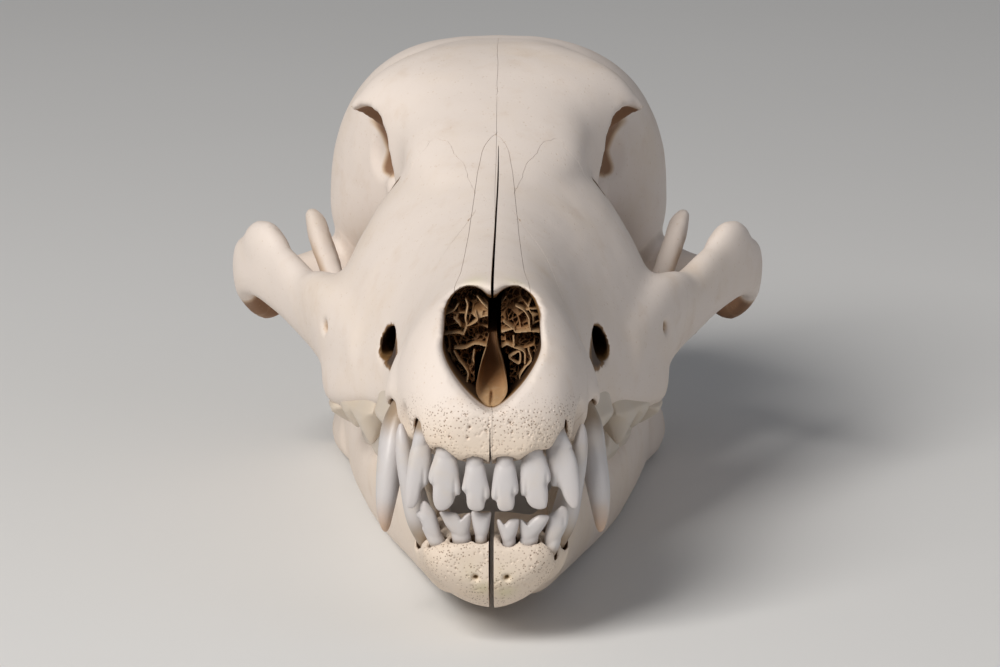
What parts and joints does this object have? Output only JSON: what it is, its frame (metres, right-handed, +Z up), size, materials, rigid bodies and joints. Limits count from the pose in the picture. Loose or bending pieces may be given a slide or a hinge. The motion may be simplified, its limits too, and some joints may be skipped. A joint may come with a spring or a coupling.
{
  "type": "dog skull",
  "caption": "Life-size dry dog skull with lower jaw closed, open sutures, incisors, canines and cheek teeth, nasal scrolls and arched cheek bones, standing on its jaw.",
  "frame": {"origin": "on the floor, under the middle of the part's box", "axes": "+X to the animal's left, +Y from the nose to the back of the head, +Z up from the floor that the lower jaw stands on"},
  "size_m": [0.0936, 0.1762, 0.0769],
  "materials": {
    "braincase": "dry matt bone",
    "frontal_left": "dry matt bone",
    "frontal_right": "dry matt bone",
    "nasal_left": "dry matt bone",
    "nasal_right": "dry matt bone",
    "maxilla_left": "dry matt bone",
    "maxilla_right": "dry matt bone",
    "incisive_left": "dry matt bone",
    "incisive_right": "dry matt bone",
    "zygomatic_left": "dry matt bone",
    "zygomatic_right": "dry matt bone",
    "turbinate_left": "dry matt bone",
    "turbinate_right": "dry matt bone",
    "mandible_left": "dry matt bone",
    "mandible_right": "dry matt bone",
    "vomer": "dry matt bone"
  },
  "bodies": {
    "root": {"braincase": "braincase", "frontal_left": "frontal_left", "frontal_right": "frontal_right", "nasal_left": "nasal_left", "nasal_right": "nasal_right", "maxilla_left": "maxilla_left", "maxilla_right": "maxilla_right", "incisive_left": "incisive_left", "incisive_right": "incisive_right", "zygomatic_left": "zygomatic_left", "zygomatic_right": "zygomatic_right", "turbinate_left": "turbinate_left", "turbinate_right": "turbinate_right", "mandible_left": "mandible_left", "mandible_right": "mandible_right", "vomer": "vomer"}
  },
  "joints": []
}
